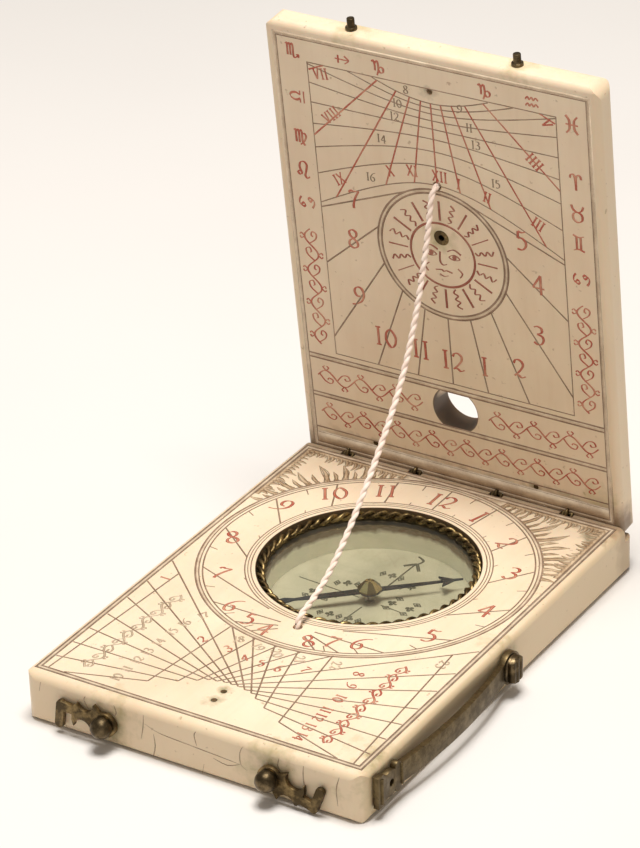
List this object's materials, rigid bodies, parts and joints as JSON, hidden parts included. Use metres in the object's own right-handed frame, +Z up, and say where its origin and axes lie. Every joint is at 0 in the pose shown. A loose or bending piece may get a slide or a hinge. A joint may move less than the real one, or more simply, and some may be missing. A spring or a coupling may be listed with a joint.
{
  "type": "diptych sundial",
  "caption": "Folding pocket sundial of two ivory leaves on wire hinges, with a glazed compass in the lower leaf, a string gnomon, hook catches and a side arm.",
  "frame": {"origin": "centre of the lower leaf's flat underside", "axes": "+Z up through the lower leaf, +Y towards the hinge, +X to the right as the front edge is faced"},
  "size_m": [0.0657, 0.0931, 0.0944],
  "materials": {
    "ivory": "hand-polished ivory, aged cream",
    "bone": "plain bone",
    "card": "pale green painted card",
    "steel": "satin",
    "blued_steel": "heat-blued steel",
    "bright_brass": "bright facets",
    "dark_brass": "old brass with a dark patina",
    "glass": "thin old greenish glass",
    "string": "two-ply twisted thread"
  },
  "bodies": {
    "base": {"lower_leaf": "ivory", "compass_card": "card", "needle_pivot": "steel", "compass_glass": "glass", "retaining_ring": "dark_brass", "gnomon_string": "string", "string_foot_peg": "bone", "hinge_staples": "dark_brass", "left_hook_pin": "dark_brass", "right_hook_pin": "dark_brass", "side_arm_pin": "dark_brass"},
    "lid": {"upper_leaf": "ivory", "string_head_peg": "bone", "vane_bush": "dark_brass", "hinge_eyes": "dark_brass", "leaf_pins": "dark_brass", "catch_studs": "dark_brass"},
    "needle": {"compass_needle": "blued_steel", "needle_cap": "bright_brass"},
    "left_hook": {"left_hook": "dark_brass"},
    "right_hook": {"right_hook": "dark_brass"},
    "side_arm": {"side_arm": "dark_brass"}
  },
  "joints": [
    {"name": "lid_hinge", "type": "hinge", "parent": "base", "child": "lid", "pos_m": [0, 0.0405, 0.009], "axis": [1, 0, 0], "range_deg": [-6, 84], "deforming": ["gnomon_string"]},
    {"name": "needle_spin", "type": "hinge", "parent": "base", "child": "needle", "pos_m": [0, 0.0101, 0.0042], "axis": [0, 0, 1], "continuous": true},
    {"name": "left_hook_swing", "type": "hinge", "parent": "base", "child": "left_hook", "pos_m": [-0.0153, -0.04475, 0.0043], "axis": [0, -1, 0], "range_deg": [-200, 4]},
    {"name": "right_hook_swing", "type": "hinge", "parent": "base", "child": "right_hook", "pos_m": [0.0153, -0.04475, 0.0043], "axis": [0, -1, 0], "range_deg": [-69, 202]},
    {"name": "side_arm_swing", "type": "hinge", "parent": "base", "child": "side_arm", "pos_m": [0.0323, -0.0005, 0.0049], "axis": [-1, 0, 0], "range_deg": [0, 120]}
  ]
}
